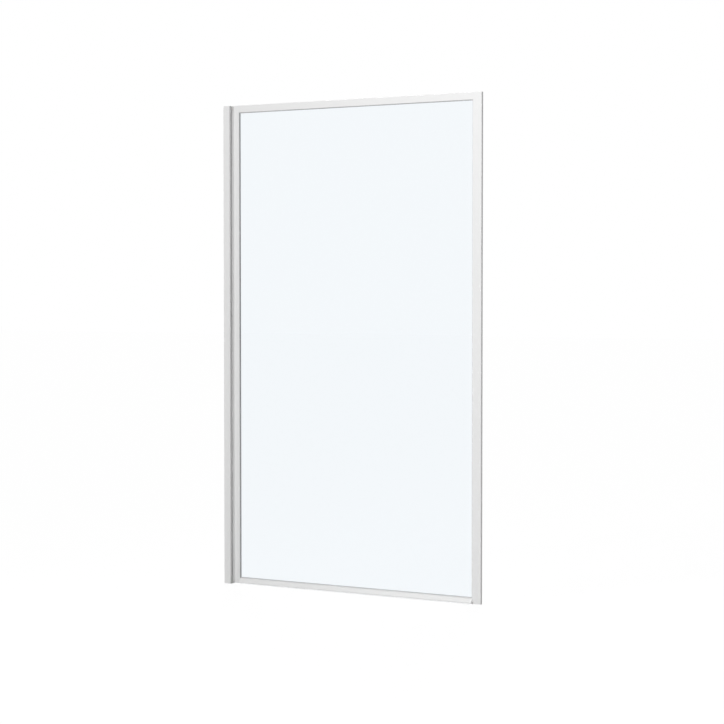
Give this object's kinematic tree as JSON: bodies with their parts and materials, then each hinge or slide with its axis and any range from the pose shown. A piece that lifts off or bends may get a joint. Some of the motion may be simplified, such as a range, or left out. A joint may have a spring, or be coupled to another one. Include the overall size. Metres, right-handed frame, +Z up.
{
  "type": "bath screen",
  "caption": "Framed clear-glass bath screen: an extruded white frame whose leaf pivots in and out on a telescoping wall profile, with a drip nose and wiper seal below.",
  "frame": {"origin": "where the wall plane, the bath rim and the screen's mid-plane meet: the back lower edge of the wall profile", "axes": "+X along the closed screen away from the wall, -Y the bath side with the drip nose, +Z up"},
  "size_m": [0.84, 0.0253, 1.4],
  "materials": {
    "frame_coating": "white satin powder coat on extruded aluminium",
    "white_moulding": "white moulded plastic, satin",
    "pivot_plastic": "natural acetal",
    "steel": "stainless steel",
    "key_aluminium": "plain sawn aluminium",
    "clear_glass": "clear toughened safety glass, polished arrises",
    "glazing_gasket": "soft grey-white glazing gasket",
    "wiper_seal": "soft translucent wiper seal"
  },
  "bodies": {
    "wall_profile": {"wall_profile": "frame_coating", "wall_profile_cap_top": "white_moulding", "wall_profile_cap_bottom": "white_moulding", "clamp_screws": "steel", "clamp_nuts": "steel", "screw_cover_caps": "white_moulding"},
    "adjusting_post": {"adjusting_post": "frame_coating", "pivot_block_top": "white_moulding", "pivot_block_bottom": "white_moulding", "pivot_pin_top": "steel", "pivot_pin_bottom": "steel"},
    "leaf": {"hinge_stile": "frame_coating", "closing_stile": "frame_coating", "top_rail": "frame_coating", "bottom_rail": "frame_coating", "hinge_stile_cap_top": "white_moulding", "hinge_stile_cap_bottom": "white_moulding", "closing_stile_cap_top": "white_moulding", "closing_stile_cap_bottom": "white_moulding", "drip_nose_plug_left": "white_moulding", "drip_nose_plug_right": "white_moulding", "pivot_bush_top": "pivot_plastic", "pivot_bush_bottom": "pivot_plastic", "thrust_washer_top": "pivot_plastic", "thrust_washer_bottom": "pivot_plastic", "corner_screws": "steel", "corner_key_top_left": "key_aluminium", "corner_key_top_right": "key_aluminium", "corner_key_bottom_left": "key_aluminium", "corner_key_bottom_right": "key_aluminium", "glass_pane": "clear_glass", "gasket_hinge_side": "glazing_gasket", "gasket_closing_side": "glazing_gasket", "gasket_top": "glazing_gasket", "gasket_bottom": "glazing_gasket", "bottom_seal": "wiper_seal"}
  },
  "joints": [
    {"name": "width_adjustment", "type": "slide", "parent": "wall_profile", "child": "adjusting_post", "axis": [1, 0, 0], "range_m": [0, 0.01]},
    {"name": "leaf_swing", "type": "hinge", "parent": "adjusting_post", "child": "leaf", "pos_m": [0.025, 0, 0.7], "axis": [0, 0, 1], "range_deg": [-90, 90]}
  ]
}
